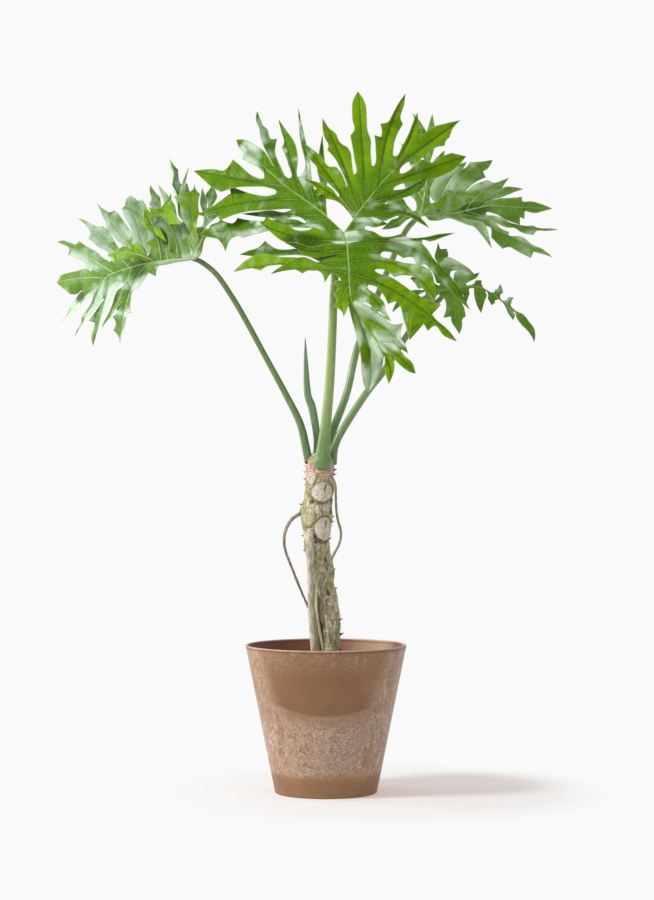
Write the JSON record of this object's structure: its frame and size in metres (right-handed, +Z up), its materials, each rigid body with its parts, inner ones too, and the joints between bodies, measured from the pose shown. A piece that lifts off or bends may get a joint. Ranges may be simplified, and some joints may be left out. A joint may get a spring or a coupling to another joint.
{
  "type": "potted philodendron",
  "caption": "Lacy tree philodendron with deeply cut leaves on long stalks, a scarred trunk and aerial roots, in a tapered planter filled with soil.",
  "frame": {"origin": "centre of the pot's foot, on the floor", "axes": "+Z up along the pot's axis, -Y towards the viewer of the picture, +X to that viewer's right"},
  "size_m": [0.8909, 0.412, 1.2332],
  "materials": {
    "planter_resin": "smooth satin resin with soft marbling",
    "potting_soil": "loose dark soil with bark chips",
    "bark": "rough grey-brown bark with pale leaf scars",
    "old_root": "matt grey-brown skin",
    "young_root": "smooth yellow-green skin",
    "petiole": "smooth fleshy green skin",
    "new_leaf": "satin dark green sheath",
    "leaf": "glossy leathery green"
  },
  "bodies": {
    "root": {"pot": "planter_resin", "soil": "potting_soil", "trunk": "bark", "aerial_root_thick": "old_root", "aerial_root_slim": "young_root", "aerial_root_left_loop": "old_root", "aerial_root_right_loop": "old_root", "petiole_left": "petiole", "petiole_front": "petiole", "petiole_right_back": "petiole", "petiole_right_low": "petiole", "new_leaf_spike": "new_leaf", "blade_front": "leaf", "blade_left": "leaf", "blade_right_back": "leaf", "blade_right_low": "leaf"}
  },
  "joints": []
}
